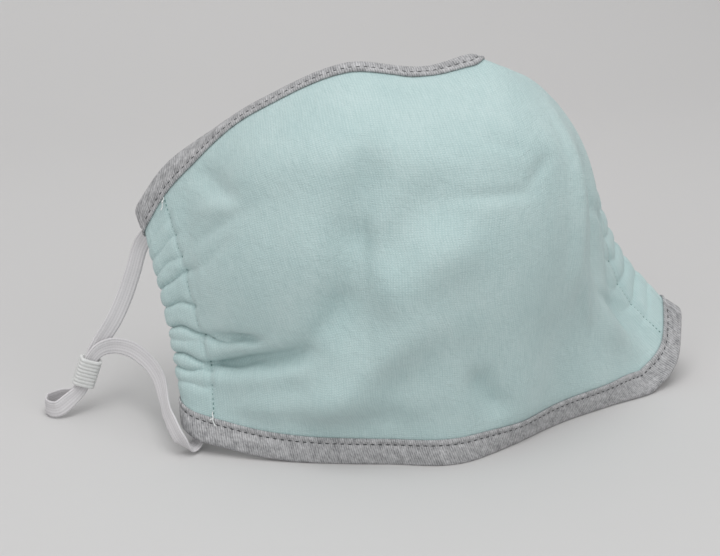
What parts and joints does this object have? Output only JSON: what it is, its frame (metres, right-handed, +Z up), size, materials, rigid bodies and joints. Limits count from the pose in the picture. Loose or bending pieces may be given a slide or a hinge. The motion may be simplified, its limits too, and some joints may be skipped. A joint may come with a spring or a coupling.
{
  "type": "cloth face mask",
  "caption": "Cloth face mask standing on its chin edge, with bound top and bottom edges, gathered side casings, flat elastic ear loops and ribbed adjusters.",
  "frame": {"origin": "on the surface it stands on, under the middle of the cloth's bounding box", "axes": "+Z up, -Y out of the mask's convex front, +X towards the wearer's left ear"},
  "size_m": [0.2345, 0.1161, 0.1301],
  "materials": {
    "mint_jersey": "matte jersey knit",
    "grey_heather_knit": "matte heather knit",
    "white_elastic": "matte ribbed knit",
    "white_silicone": "satin"
  },
  "bodies": {
    "root": {"mask_panel": "mint_jersey", "top_binding": "grey_heather_knit", "bottom_binding": "grey_heather_knit", "ear_loop_right": "white_elastic", "ear_loop_left": "white_elastic", "adjuster_right": "white_silicone", "adjuster_left": "white_silicone"}
  },
  "joints": []
}
